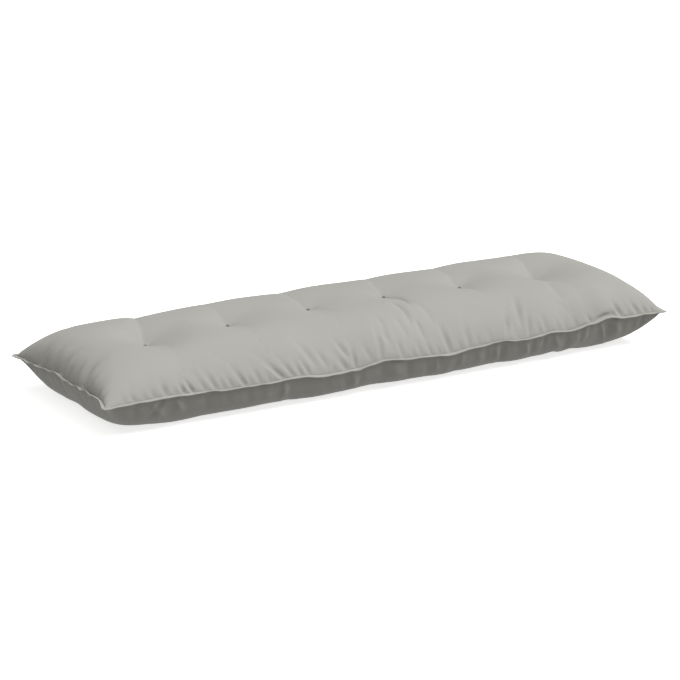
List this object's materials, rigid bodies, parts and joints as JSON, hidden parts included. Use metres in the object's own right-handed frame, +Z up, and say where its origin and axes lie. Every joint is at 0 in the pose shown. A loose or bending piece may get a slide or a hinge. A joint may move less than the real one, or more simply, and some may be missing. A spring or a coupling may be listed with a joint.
{
  "type": "tufted bench back cushion",
  "caption": "Long filled back cushion with a knife-edge flanged seam all round and one row of thread tufts along its middle.",
  "frame": {"origin": "centre of the cushion's plan, on the surface that its flat belly lies on", "axes": "+X along the length, +Y across the width away from the front seam, +Z up through the crown"},
  "size_m": [1.2, 0.384, 0.1332],
  "materials": {
    "cloth": "matt grey plain-woven polyester, slightly soft",
    "thread": "grey twisted polyester tufting thread"
  },
  "bodies": {
    "root": {"cushion": "cloth", "tuft_tie_1": "thread", "tuft_tie_2": "thread", "tuft_tie_3": "thread", "tuft_tie_4": "thread", "tuft_tie_5": "thread", "tuft_tie_6": "thread"}
  },
  "joints": []
}
